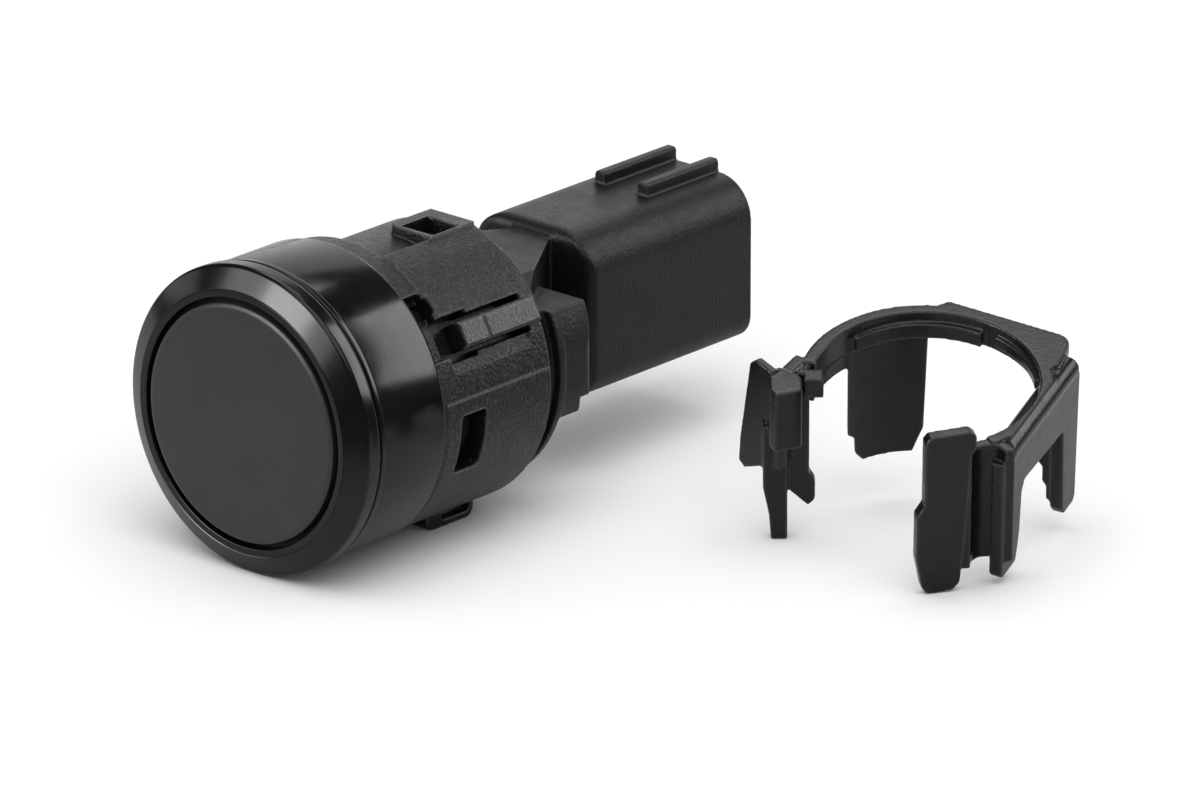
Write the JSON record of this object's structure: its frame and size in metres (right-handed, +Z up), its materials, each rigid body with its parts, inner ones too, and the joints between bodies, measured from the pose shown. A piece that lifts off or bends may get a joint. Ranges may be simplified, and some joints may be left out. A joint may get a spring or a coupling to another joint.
{
  "type": "parking sensor",
  "caption": "Ultrasonic parking sensor for a bumper: round sensing face in a glossy bezel, latch collar and keyed plug connector, with its spring retaining clip taken off beside it.",
  "frame": {"origin": "on the sensor's axis, in the middle of the bezel ring's cylindrical land", "axes": "the sensing face looks along -Y, the connector opens along +Y, +Z is up; the loose clip stands at +X, +Y on the same surface"},
  "size_m": [0.0504, 0.0442, 0.0208],
  "materials": {
    "face_lacquer": "satin lacquer on an aluminium pot",
    "piezo": "matt",
    "foam": "matt silicone foam",
    "decoupling_rubber": "matt",
    "bezel_gloss": "polished",
    "sleeve_gloss": "polished",
    "collar_plastic": "fine moulded grain",
    "housing_plastic": "fine moulded grain",
    "potting": "satin",
    "board": "satin",
    "chip": "matt",
    "ferrite": "matt",
    "copper": "enamelled wire",
    "capacitor": "satin",
    "resistor": "satin",
    "lead_wire": "satin insulation",
    "terminal": "plated",
    "clip_plastic": "semi-matt moulding"
  },
  "bodies": {
    "root": {"transducer_cup": "face_lacquer", "piezo_disc": "piezo", "damping_foam": "foam", "decoupling_ring": "decoupling_rubber", "bezel_ring": "bezel_gloss", "head_sleeve": "sleeve_gloss", "locking_collar": "collar_plastic", "housing": "housing_plastic", "potting_seal": "potting", "circuit_board": "board", "driver_chip": "chip", "transformer_core": "ferrite", "transformer_winding": "copper", "capacitors": "capacitor", "resistors": "resistor", "lead_wire_1": "lead_wire", "lead_wire_2": "lead_wire", "terminal_pin_1": "terminal", "terminal_pin_2": "terminal", "terminal_pin_3": "terminal", "retaining_clip": "clip_plastic"}
  },
  "joints": []
}
